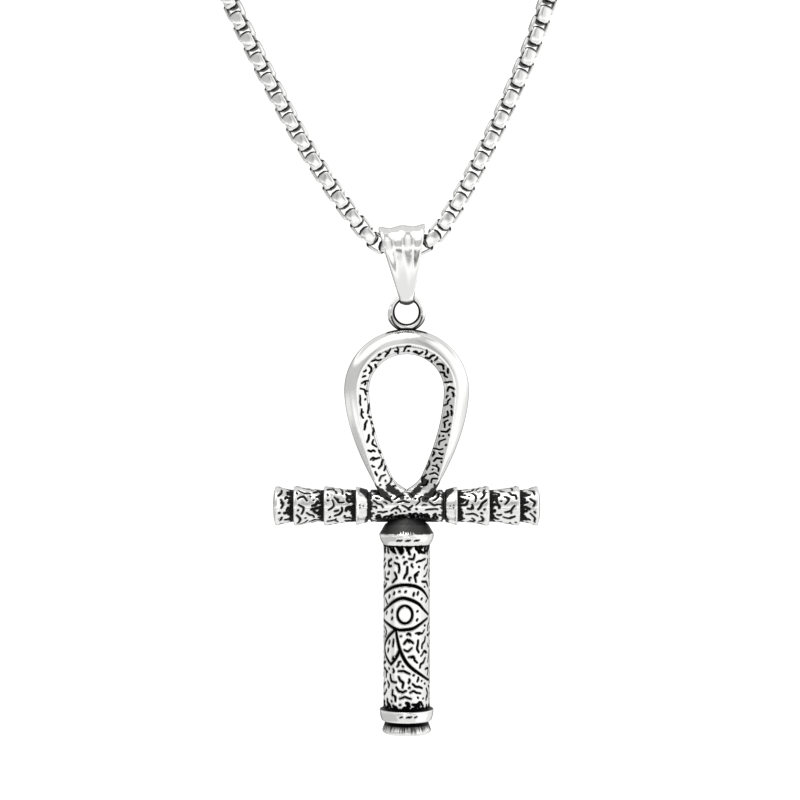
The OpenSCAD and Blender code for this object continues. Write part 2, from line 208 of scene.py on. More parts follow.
def gap_to_marks(u, v, marks, width):
    """How far each place lies outside the nearest groove, in millimetres, and below 0 within it."""
    copies = marks
    if width < no_wrap:
        copies = np.vstack([marks, marks + (width, 0, 0), marks - (width, 0, 0)])
    tree = kdtree.KDTree(len(copies))
    for k, (x, y, _) in enumerate(copies):
        tree.insert((x, y, 0), k)
    tree.balance()
    found = [tree.find((x, y, 0)) for x, y in zip(u.ravel(), v.ravel())]
    gap = np.array([near[2] - copies[near[1], 2] for near in found])
    return gap.reshape(u.shape)


def groove_black(gap):
    """The share of black oxide at a place that far outside a groove: all of it within the groove."""
    return smooth_step(0.08, -0.01, gap)


def groove_cut(gap, depth=mark_depth, floor=groove_floor):
    """How deep the metal is cut at that place, with walls that slope from the floor to the edge."""
    return depth * (1 - smooth_step(floor, groove_edge, gap))


def grid_faces(rows, columns, rows_close):
    """Faces between the neighbouring points of a grid whose rows run round a piece. Where the rows
    don't close into a ring themselves, one flat face closes each end."""
    r, c = np.divmod(np.arange((rows if rows_close else rows - 1) * columns), columns)
    r2 = (r + 1) % rows
    c2 = (c + 1) % columns
    corners = [r * columns + c, r * columns + c2, r2 * columns + c2, r2 * columns + c]
    faces = np.transpose(corners).tolist()
    if not rows_close:
        faces.append(list(range(columns - 1, -1, -1)))
        faces.append([(rows - 1) * columns + k for k in range(columns)])
    return faces


def steel_piece(name, points, oxide, material, place, rows_close=False, faces=None):
    """A mesh object of a grid of points in millimetres, or of points with faces of their own, with
    the share of black at each point: oxide on the casting, painted shade on the bail, chain and clasp."""
    faces = faces or grid_faces(*points.shape[:2], rows_close)
    mesh = bpy.data.meshes.new(name)
    mesh.from_pydata(((points.reshape(-1, 3) + place) * MM).tolist(), [], faces)
    layer = mesh.attributes.new("oxide", "FLOAT", "POINT")
    layer.data.foreach_set("value", np.clip(oxide, 0, 1).astype(np.float32).ravel())
    build = bmesh.new()
    build.from_mesh(mesh)
    bmesh.ops.recalc_face_normals(build, faces=build.faces)
    build.to_mesh(mesh)
    build.free()
    mesh.shade_smooth()
    mesh.materials.append(material)
    piece = bpy.data.objects.new(name, mesh)
    bpy.context.scene.collection.objects.link(piece)
    return piece


def linear(hex_colour):
    """An sRGB colour such as #E8E8E8 as the linear values that a shader takes."""
    shares = [int(hex_colour[k:k + 2], 16) / 255 for k in (1, 3, 5)]
    return [s / 12.92 if s <= 0.04045 else ((s + 0.055) / 1.055) ** 2.4 for s in shares] + [1.0]


def add_node(tree, kind, inputs=(), **settings):
    """Adds a node with its settings, and sets each named input or links it to another's output."""
    node = tree.nodes.new("ShaderNode" + kind)
    for name, value in settings.items():
        setattr(node, name, value)
    for name, value in dict(inputs).items():
        if isinstance(value, bpy.types.NodeSocket):
            tree.links.new(value, node.inputs[name])
        else:
            node.inputs[name].default_value = value
    return node


def buffed_steel(name, colour, oxide_and_shade_colour, polish, wave_mm, wave_height_mm):
    """Buffed stainless steel: a bright grey metal with soft, slightly wavy reflections from the
    wheel, and matt black where the piece's own oxide value asks: oxide on the casting, painted shade
    on the bail, chain and clasp. The real scratches of the wheel are far too fine to show, so their
    haze is as coarse as half a millimetre."""
    haze_mm = 0.5
    material = bpy.data.materials.new(name)
    material.use_nodes = True
    tree = material.node_tree
    tree.nodes.clear()
    oxide = add_node(tree, "Attribute", attribute_name="oxide")
    place = add_node(tree, "TexCoord")
    wave, haze = [add_node(tree, "TexNoise", {
        "Vector": place.outputs["Object"], "Scale": 1 / (size_mm * MM), "Detail": detail})
        for size_mm, detail in ((wave_mm, 2.0), (haze_mm, 3.0))]
    shade = add_node(tree, "Mix", {
        "Factor": oxide.outputs["Fac"], "A": linear(colour), "B": linear(oxide_and_shade_colour)}, data_type="RGBA")
    hazy = add_node(tree, "MapRange", {
        "Value": haze.outputs["Fac"], "From Min": 0.3, "From Max": 0.7,
        "To Min": polish - 0.03, "To Max": polish + 0.05})
    matt = add_node(tree, "Mix", {
        "Factor": oxide.outputs["Fac"], "A": hazy.outputs["Result"], "B": 0.5}, data_type="FLOAT")
    bump = add_node(tree, "Bump", {
        "Height": wave.outputs["Fac"], "Strength": 1.0, "Distance": wave_height_mm * MM})
    steel = add_node(tree, "BsdfPrincipled", {
        "Base Color": shade.outputs["Result"], "Metallic": 1.0, "Roughness": matt.outputs["Result"],
        "Normal": bump.outputs["Normal"]})
    add_node(tree, "OutputMaterial", {"Surface": steel.outputs["BSDF"]})
    return material


# Lost-wax cast 316L steel, tumbled, blackened and buffed by hand: near white where the wheel ran,
# with the soft grey of a studio tent in its curves, and soot black in every recess
cast_steel = buffed_steel("cast_stainless_steel", "#F0F0EF", "#060606", 0.13, 2.6, 0.02)

outer = drop_outline(loop_w, loop_crown_h, loop_foot_w)[:, None, :]
ridge = drop_outline(ridge_w, ridge_crown_h, ridge_foot_w)[:, None, :]
hole = hole_outline()[:, None, :]
low_leg = np.clip(barrel_r + crotch_r - outer[:, :, 1], 0, None) / (barrel_r + crotch_r - leg_end_z)
half_t = loop_t / 2 * (1 - leg_end_thinning * low_leg)
turn = np.linspace(0, pi / 2, rim_columns)[None, :]
rim_flat = outer * np.cos(turn)[..., None] + ridge * (1 - np.cos(turn))[..., None]
rim_depth = half_t * np.sin(turn)
down = np.linspace(0, 1, bevel_columns + 1)[None, 1:]
bevel_flat = ridge * (1 - down)[..., None] + hole * down[..., None]
bulge = bevel_bulge * 256 / 27 * down ** 3 * (1 - down)
bevel_depth = half_t * (1 - down) + loop_edge_t / 2 * down + bulge
wall = np.linspace(-1, 1, wall_columns + 2)[None, 1:-1]
wall_flat = np.repeat(hole, wall_columns, axis=1)
wall_depth = loop_edge_t / 2 * np.repeat(wall, len(outer), axis=0)
loop_flat = np.concatenate([
    rim_flat, bevel_flat, wall_flat, bevel_flat[:, ::-1], rim_flat[:, :0:-1]], axis=1)
loop_depth = np.concatenate([
    -rim_depth, -bevel_depth, wall_depth, bevel_depth[:, ::-1], rim_depth[:, :0:-1]], axis=1)
loop_points = np.stack([loop_flat[..., 0], loop_depth, loop_flat[..., 1]], axis=-1)

# Buffing rounds the corners between the rim, the bevel and the wall
for _ in range(2):
    before = np.roll(loop_points, 1, axis=1)
    after = np.roll(loop_points, -1, axis=1)
    loop_points = 0.5 * loop_points + 0.25 * (before + after)


def on_bevel(u, z):
    """Whether a place of the strip of marks lies on the bevel, clear of its two edges."""
    x = u - loop_w / 2
    rim = 2 * bevel_margin
    in_ridge = np.abs(x) < half_width(ridge_w - rim, ridge_crown_h - rim / 2, ridge_foot_w - rim, z)
    past_hole = np.abs(x) > half_width(hole_w + rim, hole_crown_h + rim / 2, hole_foot_w + rim, z)
    return in_ridge & past_hole & (z > barrel_r + 0.4)


# The strip's u is half the loop's width more than x. The marks stand further apart on the left
# The marks are real grooves; their wider spacing on the left is a painted highlight, fewer black grooves
# where the light falls brightest
loop_oxide = np.zeros(loop_points.shape[:2])
leg_marks_end = loop_w / 2 - 0.5
front_bevel = slice(rim_columns, rim_columns + bevel_columns)
back_bevel = slice(front_bevel.stop + wall_columns, front_bevel.stop + wall_columns + bevel_columns)
strip = (loop_w, 0, loop_leg_h + ridge_crown_h)
for columns, inwards, seed in ((front_bevel, 1, 31), (back_bevel, -1, 35)):
    sparse = punched_marks(
        strip, lambda u, z: on_bevel(u, z) & (u < leg_marks_end), [],
        seed, mark_w=0.25, spacing=0.5, lengths=bevel_lengths)
    strewn = punched_marks(
        strip, lambda u, z: on_bevel(u, z) & (u > leg_marks_end), sparse,
        seed + 1, mark_w=0.26, spacing=0.41, lengths=bevel_lengths)
    strewn[:, 0] -= loop_w / 2
    patch = loop_points[:, columns]
    gap = gap_to_marks(patch[..., 0], patch[..., 2], strewn, no_wrap)
    loop_oxide[:, columns] = groove_black(gap)
    loop_points[:, columns, 1] += inwards * groove_cut(gap)

# Black stays along the edges of the hole's wall, round the loop's feet on the barrel and under the
# eyelet. It is thinner at the wall's left, a painted highlight where the light falls brightest
hollow_black = 0.955
column = np.arange(loop_oxide.shape[1])
from_edge = np.minimum(
    np.abs(column - front_bevel.stop + 0.5), np.abs(column - back_bevel.start + 0.5))
# Painted highlight: the wall's black oxide fades by 60 per cent towards the left
wall_oxide_with_highlight = 1 - 0.6 * smooth_step(0, -3, loop_points[..., 0])
loop_oxide = np.maximum(loop_oxide, smooth_step(1.9, 0.9, from_edge)[None, :] * wall_oxide_with_highlight)
foot_patches = [
    ((-4.1, 2.33), (-2.45, 1.17), 0.47), ((-2.35, 2.4), (-0.6, 1.3), 0.42),
    ((0.6, 1.4), (2.45, 3.2), 0.4), ((2.35, 1.0), (4.6, 2.8), 0.47)]
bright_dots = [(4.0, 2.07), (1.96, 2.6)]


def foot_oxide(x, z):
    """The four black hollows where the loop's legs stand on the barrel, as seen from the front. Two
    of them keep a bright dot, where a grain of the mould stood."""
    gap = np.full(x.shape, 9.0)
    for start, end, radius in foot_patches:
        way = np.array(end) - start
        share = np.clip(((x - start[0]) * way[0] + (z - start[1]) * way[1]) / (way @ way), 0, 1)
        aside = np.hypot(x - start[0] - share * way[0], z - start[1] - share * way[1])
        gap = np.minimum(gap, aside - radius)
    gap += 0.09 * np.sin(6 * x + 2 * z) * np.sin(5 * z - 3 * x) + 0.04 * np.sin(17 * x) * np.sin(15 * z)
    black = smooth_step(0.07, -0.05, gap)
    for dot_x, dot_z in bright_dots:
        black *= smooth_step(0.1, 0.2, np.hypot(x - dot_x, z - dot_z))
    return black


def crown_height(x):
    """The height of the loop's outer rim at its crown, above the crossbar's axis."""
    return loop_leg_h + loop_crown_h * np.sqrt(np.clip(1 - (2 * x / loop_w) ** 2, 0, 1))


loop_x, loop_y, loop_z = np.moveaxis(loop_points, -1, 0)
crown_w = 0.1 + 0.16 * smooth_step(1.0, 2.0, np.abs(loop_x))
crown_oxide = smooth_step(crown_w + 0.1, crown_w, crown_height(loop_x) - loop_z)
crown_oxide *= smooth_step(2.9, 2.4, np.abs(loop_x)) * (loop_z > loop_leg_h)
feet = hollow_black * foot_oxide(loop_x, loop_z) * (loop_z < 4) * (np.abs(loop_y) > loop_edge_t / 2)
loop_oxide = np.max([loop_oxide, feet, crown_oxide], axis=0)

loop = steel_piece("loop", loop_points, loop_oxide, cast_steel, crossing)
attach(loop, "pendant")
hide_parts("ankh")

# Eyelet. A small wire ring cast in one with the loop, face on to the wearer, which swells downwards
# into the lug that stands on the loop's crown. A crease runs between its ring and that lug, and the
# oxide stays in its bore and in the corner where it stands on the loop.
eyelet_d = 3.1
wire_d = 0.76
lug_d = 5.2
lug_t = 1.5
eyelet_sink = 0.1
lug_start = 0.3
lug_swell = 1.6
lug_fullness = 0.8
eyelet_rows = 132
eyelet_columns = 56
crease_w = 0.2
crease_depth = 0.1
crease_start_r = 2.0
crease_spread = 0.42
eyelet_z = loop_leg_h + loop_crown_h + eyelet_d / 2 + wire_d - eyelet_sink

around = angles_round(eyelet_rows)[:, None]
over = angles_round(eyelet_columns)[None, :]
lug = (np.clip(lug_start - np.cos(around), 0, None) / (1 + lug_start)) ** lug_fullness
swell = np.minimum(1, lug_swell * lug)
wide = (wire_d + ((lug_d - eyelet_d) / 2 - wire_d) * swell) / 2
deep = (wire_d + (lug_t - wire_d) * lug) / 2
reach = eyelet_d / 2 + wide + wide * np.cos(over)
side = -deep * np.sin(over)
crease_r = crease_start_r + crease_spread * np.clip(-np.cos(around), 0, 1) ** 1.5
low_half = smooth_step(0.1, 0.35, -np.cos(around))
crease = low_half * (1 - smooth_step(0.2 * crease_w, crease_w, np.abs(reach - crease_r)))
side -= np.sign(side) * crease_depth * crease
eyelet_points = np.stack([
    reach * np.sin(around), side + 0 * reach, eyelet_z + reach * np.cos(around)], axis=-1)
bore_oxide = smooth_step(-0.25, -0.5, np.cos(over) + 0 * around)
corner_w = 0.04 + 0.3 * smooth_step(0.9, 2.0, np.abs(eyelet_points[..., 0]))
above_crown = eyelet_points[..., 2] - crown_height(eyelet_points[..., 0])
corner_oxide = smooth_step(corner_w + 0.14, corner_w, above_crown)
low_outside = smooth_step(0.2, 0.5, -np.cos(around)) * smooth_step(0.93, 0.8, -np.cos(around))
low_outside = low_outside * smooth_step(0.4, 0.75, np.cos(over))
eyelet_oxide = np.max([bore_oxide, crease, corner_oxide, 0.85 * low_outside], axis=0)
eyelet = steel_piece("eyelet", eyelet_points, eyelet_oxide, cast_steel, crossing, rows_close=True)
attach(eyelet, "pendant")
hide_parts("ankh")

# Crossbar. A turned bar in the same casting: a worm-marked barrel at the middle, a black groove and a
# bright cone ring on each side of it, and three flared segments on each arm. On each segment the
# oxide is solid at the narrow end and breaks up into fingers towards the buffed rim.
barrel_l = 9.46
groove_d = 3.6
groove_l = 0.26
ring_l = 1.56
ring_d = 5.2
segment_ls = (4.13, 3.92, 2.4)
segment_neck_d = 4.1
segment_rim_d = 5.24
end_dome_h = 0.36
step_l = 0.06
edge = 0.16
turned_step = 0.088
bar_columns = 196
finger_spacing = 0.6
finger_w = 0.4
finger_root_l = 0.5
finger_ls = (1.1, 1.1, 0.5)
longer_share = 0.75
bar_skin_r = 2.25
bar_dot_places = ((5.6, 0.12), (6.02, -0.12), (6.05, 0.2))
barrel_margin = 0.4
neck_margin = 0.3
rim_margin = 0.42
wedge_top_l = 0.98
wedge_low_l = 0.35
under_z = -1.55
under_half_w = 3.9


def rounded_profile(corners, step):
    """A turned outline through the corners as (place along the axis, radius), with eased corners."""
    corners = np.array(corners, float)
    run = np.concatenate([[0], np.cumsum(np.hypot(*np.diff(corners, axis=0).T))])
    at = np.linspace(0, run[-1], max(2, round(run[-1] / step)))
    profile = np.column_stack([np.interp(at, run, corners[:, 0]), np.interp(at, run, corners[:, 1])])
    for _ in range(2):
        profile[1:-1] = 0.5 * profile[1:-1] + 0.25 * (profile[:-2] + profile[2:])
    return profile


def flare(start, length):
    """Outline of one flared segment, from its narrow end to its rounded rim."""
    grow = (segment_rim_d - segment_neck_d) / 2
    neck_r = segment_neck_d / 2
    return [
        (start + step_l, neck_r), (start + 0.4 * length, neck_r + 0.28 * grow),
        (start + 0.75 * length, neck_r + 0.7 * grow), (start + length - 1.5 * edge, neck_r + grow),
        (start + length, neck_r + grow - edge / 2)]


def oxide_fingers(places, heading, longest, seed):
    """Ragged fingers of black that reach from the edge of a black band, with a bend or two."""
    random = np.random.default_rng(seed)
    fingers = []
    for place in places:
        at = np.array(place) + random.uniform(-0.12, 0.12, 2)
        lean = heading + random.uniform(-0.75, 0.75)
        line = bent_line(random, at, lean, finger_root_l)
        if random.random() < longer_share:
            lean += random.uniform(-0.7, 0.7)
            line = np.vstack([line, bent_line(random, line[-1], lean, random.uniform(0.3, longest))])
        fingers.extend(with_width(line, finger_w * random.uniform(0.8, 1.15)))
    return fingers


def round_places(width, along):
    """Evenly spaced places round a turned piece, where its fingers of black begin."""
    count = round(width / finger_spacing)
    return [(k * width / count, along) for k in range(count)]


groove_x = barrel_l / 2 + groove_l
ring_x = groove_x + ring_l
segment_starts = [ring_x + sum(segment_ls[:k]) for k in range(3)]
end_x = ring_x + sum(segment_ls)
arm = [(barrel_l / 2 - step_l, barrel_r), (barrel_l / 2, groove_d / 2), (groove_x, groove_d / 2),
       (groove_x + step_l, barrel_r), (ring_x - 2 * edge, ring_d / 2 - edge), (ring_x - edge, ring_d / 2),
       (ring_x, ring_d / 2 - edge / 2)]
for start, length in zip(segment_starts, segment_ls):
    arm += flare(start, length)
rim_r = segment_rim_d / 2
arm += [(end_x + 0.6 * end_dome_h, 0.75 * rim_r), (end_x + 0.95 * end_dome_h, 0.4 * rim_r),
        (end_x + end_dome_h, 0.02)]
bar_profile = rounded_profile([(-along, r) for along, r in arm[::-1]] + arm, turned_step)
bar_w = 2 * pi * bar_skin_r
under_reach = bar_skin_r * (pi / 2 - asin(-under_z / barrel_r))
bar_x, turned_r = bar_profile.T[:, :, None]
bar_turn = angles_round(bar_columns)[None, :]

# The strip of marks is the bar's skin laid flat: u runs round it from the front, v along it
bar_marks = []
upwards = pi / 2
for arm_side in (-1, 1):
    for k, start in enumerate(segment_starts):
        necks = round_places(bar_w, arm_side * (start + neck_margin))
        bar_marks += oxide_fingers(necks, arm_side * upwards, finger_ls[k], 10 * k + arm_side + 40)
    for along, aside in bar_dot_places:
        for turned_to in (0, bar_w / 2):
            dot = np.array([(turned_to + aside, arm_side * along)] * 2)
            bar_marks += list(with_width(dot, 0.2))

# The barrel's black underside ends in fingers too
for front, heading in ((1, 0.0), (-1, pi)):
    edge_u = bar_w * 0.75 + front * under_reach
    row = [(edge_u, -3.8 + 0.48 * k) for k in range(17)]
    bar_marks += oxide_fingers(row, heading, 0.35, 70 + front)


def takes_marks(u, x):
    """Whether worm marks lie there: on the barrel and on each segment, but not on a buffed rim."""
    far = np.abs(x)
    on = far < barrel_l / 2 - barrel_margin
    for start, length in zip(segment_starts, segment_ls):
        on |= (far > start + neck_margin) & (far < start + length - rim_margin)
    return on


bar_marks = punched_marks(
    (bar_w, -end_x, end_x), takes_marks, bar_marks, 33, mark_w=0.28, spacing=0.46,
    heading=upwards, spread=0.9)
u = bar_turn * bar_skin_r + 0 * bar_x
gap = gap_to_marks(u, bar_x + 0 * u, bar_marks, bar_w)
bar_oxide = groove_black(gap)
bar_r = turned_r - groove_cut(gap) * smooth_step(0.5, 1.5, turned_r)
bar_points = np.stack([bar_x + 0 * u, -bar_r * np.cos(bar_turn), bar_r * np.sin(bar_turn)], axis=-1)
far = np.abs(bar_x) + 0 * u
ragged = 0.09 * np.sin(5 * u) + 0.07 * np.sin(11 * u + 4 * bar_x)
for start in segment_starts:
    solid = smooth_step(-0.02, 0.02, far - start) * smooth_step(0.68, 0.5, far - start + ragged)
    bar_oxide = np.maximum(bar_oxide, solid)

# Black fills the grooves beside the barrel, and in wedges the cone rings' upper and lower sides
lean = np.clip((np.abs(np.sin(bar_turn)) - 0.45) / 0.38, 0, 1)
wedge_end = groove_x + 0.12 + np.where(np.sin(bar_turn) > 0, wedge_top_l, wedge_low_l) * lean
wedge = smooth_step(-0.36, -0.26, far - barrel_l / 2 + 1.2 * ragged)
wedge *= smooth_step(0.08, -0.05, far - wedge_end + ragged / 2)
height = bar_points[..., 2]
under = smooth_step(under_z + 0.1, under_z - 0.1, height + ragged)
under *= smooth_step(under_half_w + 0.3, under_half_w, far + ragged)
feet = foot_oxide(bar_points[..., 0], height) * (height > 0.3)
speckle = 0.02 * np.sin(9 * u + 23 * bar_x) * np.sin(31 * u - 11 * bar_x)
hollows = np.max([wedge, under, feet], axis=0) * (hollow_black + speckle)
bar_oxide = np.maximum(bar_oxide * 0.985, hollows)

crossbar = steel_piece("crossbar", bar_points, bar_oxide, cast_steel, crossing)
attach(crossbar, "pendant")
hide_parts("ankh")

# Shaft. The casting's stem: a blackened neck, a buffed collar, the worm-marked round with the eye of
# Horus cut into its front, a second collar, and a rounded end under a neck that a stiff brush left
# black at the top and streaky below. The eye's lines are wider and deeper than the marks round them.
shaft_d = 6.06
collar_d = 7.2
foot_collar_d = 7.08
foot_neck_d = 5.66
foot_d = 6.4
neck_top_z = -0.6 * barrel_r
neck_black = 0.94
shaft_columns = 248
iris_z = -13.82
iris_x = -0.24
iris_half_w = 0.97
iris_half_h = 1.13
eye_line_w = 0.44
eye_depth = 0.24
eye_floor = -0.16
eye_spacing = 0.05
leaf_corner = -4.6
shaft_r = shaft_d / 2
shaft_w = pi * shaft_d

# The eye's lines as seen from the front, in millimetres from the shaft's axis and the iris's middle
brow = [
    (-3.0, 2.1), (-2.8, 2.7), (-2.05, 3.35), (-1.1, 3.7), (-0.05, 3.8), (1.05, 3.65), (1.85, 3.25),
    (2.4, 2.65), (2.8, 1.9)]
upper_lid = [
    (-3.0, 0.25), (-2.3, 1.1), (-1.45, 1.8), (-0.6, 2.1), (0.2, 2.0), (1.05, 1.65), (1.65, 1.25),
    (2.1, 0.7), (2.85, -0.2)]
lower_lid = [
    (-3.0, -0.95), (-2.4, -1.35), (-1.75, -1.75), (-1.0, -2.0), (-0.15, -1.95), (0.8, -1.8),
    (1.65, -1.35), (2.3, -0.9), (2.7, -0.65)]
leaf_left = [
    (-1.6, -2.05), (-2.25, -2.75), (-2.65, -3.45), (-2.85, -4.3), (-2.75, -5.3), (-2.4, -6.05),
    (-2.05, -6.5)]
leaf_right = [(-2.05, -6.5), (-1.6, -5.85), (-1.15, -5.1), (-0.95, -4.5)]
tail = [
    (-1.4, -2.1), (-1.25, -3.05), (-1.0, -4.15), (-0.65, -5.1), (0.0, -6.2), (0.8, -7.0),
    (1.85, -7.8), (2.85, -8.65)]
tick = [(-2.75, 1.95), (-2.5, 1.2)]

# Small dashes round the iris and in the leaf: place and height of each one
dashes = [
    (-2.3, 2.25, 0.3), (-1.7, 2.7, 0.25), (-1.0, 2.95, 0.05), (-0.2, 2.95, 0.12), (0.85, 2.6, 0.35),
    (1.4, 2.7, 0.35), (1.9, 1.95, 0.15), (2.5, 1.6, 0.2), (-2.65, 0.1, 0.3), (-1.95, 0.4, 0.35),
    (-1.95, -0.55, 0.25), (1.35, 0.4, 0.1), (1.3, -0.7, 0.2), (-2.3, -3.65, 0.4), (-1.8, -3.7, 0.9),
    (-2.45, -4.7, 0.4), (-1.85, -5.65, 0.3)]


def curve_place(t, start, start_slope, end, end_slope):
    """A place at the share t of a cubic curve between two points with a slope at each of them."""
    return ((2 * t ** 3 - 3 * t ** 2 + 1) * start + (t ** 3 - 2 * t ** 2 + t) * start_slope
            + (3 * t ** 2 - 2 * t ** 3) * end + (t ** 3 - t ** 2) * end_slope)


def eased_line(points, step):
    """A smooth line through the points, as close points along it."""
    points = np.array(points, float)
    slope = np.gradient(points, axis=0)
    line = []
    for k in range(len(points) - 1):
        length = np.hypot(*(points[k + 1] - points[k]))
        line += [curve_place(t, points[k], slope[k], points[k + 1], slope[k + 1])
                 for t in np.arange(0, 1, step / length)]
    line.append(points[-1])
    return np.array(line)


eye_lines = []
for stroke in (brow, upper_lid, lower_lid, leaf_left, leaf_right, tail, tick):
    width = 0.6 * eye_line_w if stroke is tick else eye_line_w
    eye_lines.append(with_width(eased_line(stroke, eye_spacing), width, 0.72))
ring_turn = np.linspace(0, 2 * pi, 120)
iris = np.column_stack([iris_x + iris_half_w * np.cos(ring_turn), iris_half_h * np.sin(ring_turn)])
eye_lines.append(with_width(iris, 0.35, 1.0))
for x, z, height in dashes:
    dash = np.linspace((x, z - height / 2), (x + 0.1, z + height / 2), 9)
    eye_lines.append(with_width(dash, 0.3))
eye_cut = np.vstack(eye_lines)
eye_cut[:, 1] += iris_z
eye_cut[:, 0] = shaft_r * np.arcsin(np.clip(eye_cut[:, 0] / shaft_r, -0.995, 0.995))

collar_z = -collar_drop - collar_h
shaft_end_z = collar_z - shaft_l
foot_top_z = shaft_end_z - foot_collar_h
foot_end_z = foot_top_z - foot_h
collar_r = collar_d / 2
foot_collar_r = foot_collar_d / 2
foot_r = foot_d / 2
shaft_profile = rounded_profile([
    (neck_top_z, 0.37 * collar_r), (-1.75, 0.56 * collar_r), (-2.4, 0.79 * collar_r),
    (-collar_drop + edge / 2, collar_r - edge),
    (-collar_drop - edge / 2, collar_r), (-collar_drop - 0.3 * collar_h, collar_r - 0.2 * edge),
    (-collar_drop - 0.6 * collar_h, collar_r - 0.9 * edge),
    (collar_z + 0.15 * collar_h, 0.4 * collar_r + 0.6 * shaft_r),
    (collar_z, 0.15 * collar_r + 0.85 * shaft_r), (collar_z - step_l, shaft_r),
    (shaft_end_z + step_l, shaft_r), (shaft_end_z, foot_collar_r - edge),
    (shaft_end_z - 0.6 * edge, foot_collar_r),
    (shaft_end_z - 0.5 * foot_collar_h, foot_collar_r - 0.3 * edge),
    (foot_top_z + 0.5 * edge, foot_collar_r - 1.6 * edge), (foot_top_z, foot_collar_r - 2.6 * edge),
    (foot_top_z - step_l, foot_neck_d / 2), (foot_top_z - 0.16 * foot_h, foot_neck_d / 2),
    (foot_top_z - 0.6 * foot_h, foot_r - 0.5 * edge), (foot_top_z - 0.7 * foot_h, foot_r),
    (foot_top_z - 0.86 * foot_h, foot_r - 0.7 * edge), (foot_end_z + 0.03 * foot_h, foot_r - 3.2 * edge),
    (foot_end_z, 0.5 * foot_r), (foot_end_z, 0.02)], turned_step)

shaft_marks = oxide_fingers(round_places(shaft_w, collar_z - 0.25), -upwards, 0.7, 50)
shaft_marks += oxide_fingers(round_places(shaft_w, shaft_end_z + 0.25), upwards, 0.9, 51)
collar_dashes = [
    (collar_z + 0.62, (-1.15, -0.8, -0.1, 0.15, 0.9, 1.2)),
    (shaft_end_z - 0.72, (-0.75, 0.0, 0.3, 0.9))]
for z, places in collar_dashes:
    for x in places:
        for turned_to in (0, shaft_w / 2):
            dash = np.array([(turned_to + x + 0.06 * k, z + 0.03 * k) for k in range(5)])
            shaft_marks += list(with_width(dash, 0.2))


def from_front(u):
    """A place round the shaft, measured from its front to either side."""
    return np.where(u > shaft_w / 2, u - shaft_w, u)


def on_shaft(u, z):
    """Whether worm marks lie there: between the two collars, but not within the eye or its leaf."""
    x = shaft_r * np.sin(np.clip(from_front(u) / shaft_r, -1.5, 1.5))
    facing = (u < shaft_w / 4) | (u > shaft_w * 3 / 4)
    up = z - iris_z
    in_eye = up < np.interp(x, *np.transpose(brow)) + 0.1
    in_eye &= up > np.interp(x, *np.transpose(lower_lid)) - 0.1
    leaf_x, leaf_up = np.transpose(leaf_left[::-1])
    tail_x, tail_up = np.transpose(tail[::-1])
    in_leaf = (up < -2) & (up > -6.4) & (x > np.interp(up, leaf_up, leaf_x))
    in_leaf &= x < np.interp(up, tail_up, tail_x) - 0.1 * (up < leaf_corner)
    in_leaf &= (up > leaf_corner) | (x < -1.0 - 0.55 * (leaf_corner - up))
    return (z < collar_z - 0.35) & (z > shaft_end_z + 0.35) & ~(facing & (in_eye | in_leaf))


eye_sparse = list(eye_cut[::6])
strewn = punched_marks(
    (shaft_w, shaft_end_z, collar_z), on_shaft, shaft_marks + eye_sparse, 34, mark_w=0.3, spacing=0.53)
strewn = np.vstack([strewn[:len(shaft_marks)], strewn[len(shaft_marks) + len(eye_sparse):]])

shaft_z, turned_r = shaft_profile.T[:, :, None]
shaft_turn = angles_round(shaft_columns)[None, :]
u = shaft_turn * shaft_r + 0 * shaft_z
gap = gap_to_marks(u, shaft_z + 0 * u, strewn, shaft_w)
eye_gap = gap_to_marks(from_front(u), shaft_z + 0 * u, eye_cut, no_wrap)
shaft_oxide = groove_black(np.minimum(gap, eye_gap))
shaft_cut = np.maximum(groove_cut(gap), groove_cut(eye_gap, eye_depth, eye_floor))

# Black covers the neck, down to the collar but for a few worn places, and both ends of the round
ragged = 0.08 * np.sin(5 * u) + 0.06 * np.sin(11 * u + 1)
speckle = 0.025 * np.sin(11 * u + 19 * shaft_z) * np.sin(29 * shaft_z - 7 * u)
facing = smooth_step(0.72, 0.95, np.cos(4 * pi * u / shaft_w))
worn_edge = 0.34 * smooth_step(0.3, 0.9, np.sin(19 * u - 1)) * facing
neck_oxide = smooth_step(-0.1, 0.06, shaft_z + collar_drop + ragged / 3 - worn_edge)
neck_oxide *= neck_black + speckle
under_collar = smooth_step(0.03, -0.02, shaft_z - collar_z)
under_collar = under_collar * smooth_step(-0.42, -0.26, shaft_z - collar_z + ragged)
over_collar = smooth_step(0.5, 0.34, shaft_z - shaft_end_z + ragged)
over_collar *= smooth_step(-0.1, -0.04, shaft_z - shaft_end_z)

# The stiff brush's streaks under the lower collar: each of them has its own length and blackness
streak_random = np.random.default_rng(60)
streak_count = 118
streak_at = np.floor(shaft_turn / (2 * pi) * streak_count).astype(int) % streak_count
streak_l = streak_random.uniform(1.05, 1.65, streak_count)[streak_at]
streak_share = streak_random.uniform(0.78, 1.0, streak_count)[streak_at]
below_collar = foot_top_z - shaft_z
streaks = smooth_step(streak_l, streak_l - 0.7, below_collar) * streak_share
solid = smooth_step(0.9, 0.45, below_collar)
brushed = smooth_step(-0.03, 0.02, below_collar) * np.maximum(streaks, solid)
shaft_oxide = np.max([shaft_oxide, neck_oxide, under_collar, over_collar, brushed], axis=0)
radius = turned_r - shaft_cut
shaft_points = np.stack([
    radius * np.sin(shaft_turn), -radius * np.cos(shaft_turn), shaft_z + 0 * u], axis=-1)
shaft = steel_piece("shaft", shaft_points, shaft_oxide, cast_steel, crossing)
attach(shaft, "pendant")
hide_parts("ankh")

